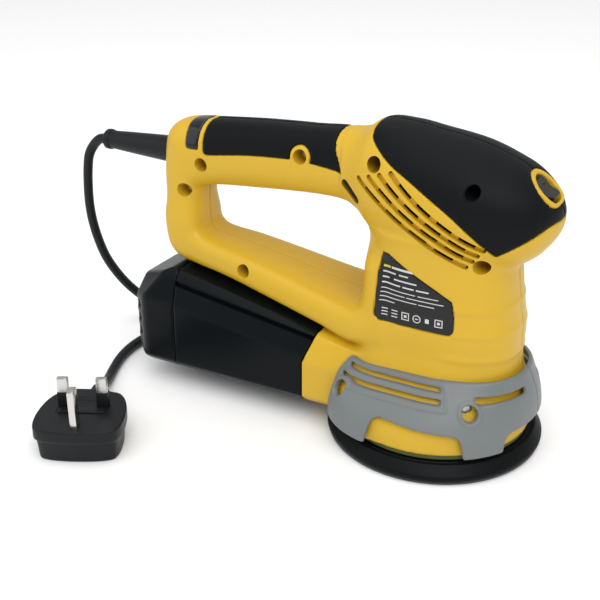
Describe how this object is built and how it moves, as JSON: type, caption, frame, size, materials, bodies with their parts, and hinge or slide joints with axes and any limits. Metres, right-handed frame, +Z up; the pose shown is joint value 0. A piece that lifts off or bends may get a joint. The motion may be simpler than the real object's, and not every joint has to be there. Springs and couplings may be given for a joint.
{
  "type": "random orbital sander",
  "caption": "Mains random orbital sander with a loop handle, a domed motor head, a round hook-face pad, a slide-off rear dust box and a coiled lead with a three-pin plug",
  "frame": {"origin": "centre of the sanding face, on the pad's own axis", "axes": "+X towards the nose, +Z up, +Y to the tool's left; the seam of the housing halves is Y = 0"},
  "size_m": [0.3165, 0.2831, 0.1788],
  "materials": {
    "yellow_shell": "fine moulded texture, satin",
    "grip": "soft matt overmould",
    "grey_collar": "satin moulded grey",
    "screw_steel": "zinc plated",
    "label": "printed film",
    "lens": "glossy dark lens",
    "led": "tinted clear",
    "rocker": "semi gloss",
    "inner_black": "moulded",
    "dial": "ribbed",
    "turned_steel": "turned",
    "board": "circuit board",
    "capacitor": "boxed capacitor",
    "bearing": "ground rings",
    "cast": "die cast",
    "laminations": "stacked laminations",
    "copper": "enamelled wire",
    "brass": "stamped",
    "carbon": "carbon",
    "spring_steel": "blackened",
    "pad_foam": "skinned foam",
    "hook": "hook face",
    "brake_rubber": "olive rubber",
    "box_black": "semi gloss moulded",
    "filter": "pleated paper",
    "cord_rubber": "smooth PVC",
    "tie": "moulded tie",
    "plug_black": "moulded",
    "pin": "nickel plated"
  },
  "bodies": {
    "body": {"housing_right": "yellow_shell", "housing_left": "yellow_shell", "head_grip_right": "grip", "head_grip_left": "grip", "handle_grip_right": "grip", "handle_grip_left": "grip", "collar_right": "grey_collar", "collar_left": "grey_collar", "collar_screws": "screw_steel", "housing_screws": "screw_steel", "rating_label": "label", "indicator_lens": "lens", "indicator_led": "led", "switch_body": "inner_black", "dial_shaft": "turned_steel", "control_board": "board", "suppression_capacitor": "capacitor", "upper_bearing_bracket": "inner_black", "upper_bearing": "bearing", "lower_bearing": "bearing", "bearing_bridge": "cast", "motor_stator": "laminations", "stator_windings": "copper", "brush_holders": "brass", "carbon_brushes": "carbon", "pad_brake_ring": "brake_rubber", "cord_sleeve": "cord_rubber", "cable_clamp": "inner_black", "cord_lead": "cord_rubber", "cord_coil": "cord_rubber", "cord_tail": "cord_rubber", "cord_tie": "tie", "plug_body": "plug_black", "plug_strain_relief": "plug_black", "plug_earth_pin": "pin", "plug_line_pins": "pin", "plug_fuse_cover": "plug_black"},
    "rotor": {"armature_shaft": "turned_steel", "armature_core": "laminations", "commutator": "copper", "cooling_fan": "inner_black", "dust_fan": "inner_black", "eccentric_hub": "cast", "counterweight": "laminations", "pad_bearing": "bearing", "retaining_ring": "spring_steel"},
    "pad": {"pad_spindle": "turned_steel", "pad_plate": "inner_black", "backing_pad": "pad_foam", "pad_hook_face": "hook", "pad_screw": "screw_steel"},
    "rocker": {"switch_rocker": "rocker"},
    "dial": {"speed_dial": "dial"},
    "dust_box": {"dust_box_body": "box_black", "dust_filter": "filter"},
    "dust_cap": {"dust_box_cap": "box_black"}
  },
  "joints": [
    {"name": "rotor_spin", "type": "hinge", "parent": "body", "child": "rotor", "pos_m": [-0.00125, 0, 0.05], "axis": [0, 0, 1], "continuous": true},
    {"name": "pad_spin", "type": "hinge", "parent": "rotor", "child": "pad", "pos_m": [0, 0, 0.02], "axis": [0, 0, 1], "continuous": true},
    {"name": "switch_rock", "type": "hinge", "parent": "body", "child": "rocker", "pos_m": [0.0485, 0, 0.15134], "axis": [0, 1, 0], "range_deg": [0, 12]},
    {"name": "dial_turn", "type": "hinge", "parent": "body", "child": "dial", "pos_m": [-0.0465, 0, 0.144], "axis": [0.7193, 0, 0.6947], "range_deg": [-135, 135]},
    {"name": "dust_box_slide", "type": "slide", "parent": "body", "child": "dust_box", "axis": [-1, 0, 0], "range_m": [0, 0.03]},
    {"name": "dust_cap_slide", "type": "slide", "parent": "dust_box", "child": "dust_cap", "axis": [-1, 0, 0], "range_m": [0, 0.015]}
  ]
}
